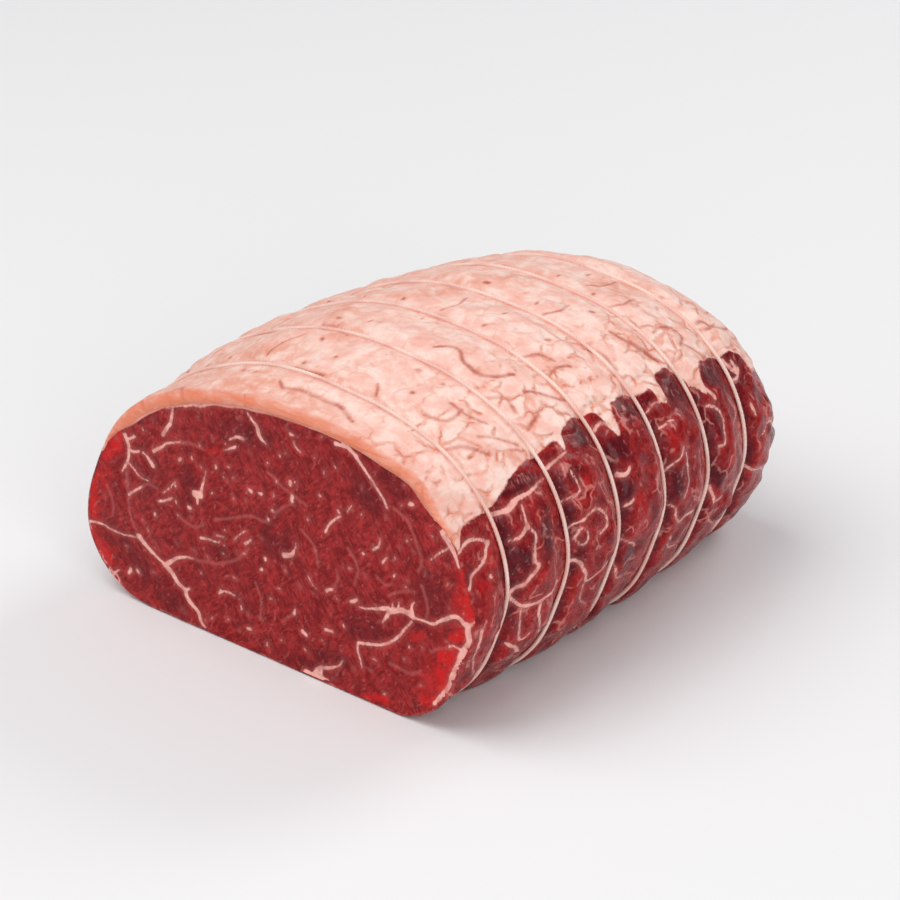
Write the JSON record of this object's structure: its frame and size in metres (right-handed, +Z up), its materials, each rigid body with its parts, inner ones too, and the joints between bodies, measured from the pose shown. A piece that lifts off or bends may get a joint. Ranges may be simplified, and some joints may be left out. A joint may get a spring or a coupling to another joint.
{
  "type": "tied beef roasting joint with fat cap",
  "caption": "Rolled raw beef roast with a cut marbled face, a pale fat cap over the top and loops of string tied round it.",
  "frame": {"origin": "middle of the flattened underside, where the roast rests", "axes": "+Z up; +Y along the roast, away from the cut face; +X to the right of the cut face"},
  "size_m": [0.1346, 0.1406, 0.0787],
  "materials": {
    "meat": "moist raw beef, dark red with pale marbling",
    "fat": "firm cream-pink fat, faintly cracked, slightly moist",
    "string": "twisted cotton, damp and stained pale pink"
  },
  "bodies": {
    "root": {"meat": "meat", "fat_cap": "fat", "string_1": "string", "string_2": "string", "string_3": "string", "string_4": "string", "string_5": "string", "string_6": "string"}
  },
  "joints": []
}
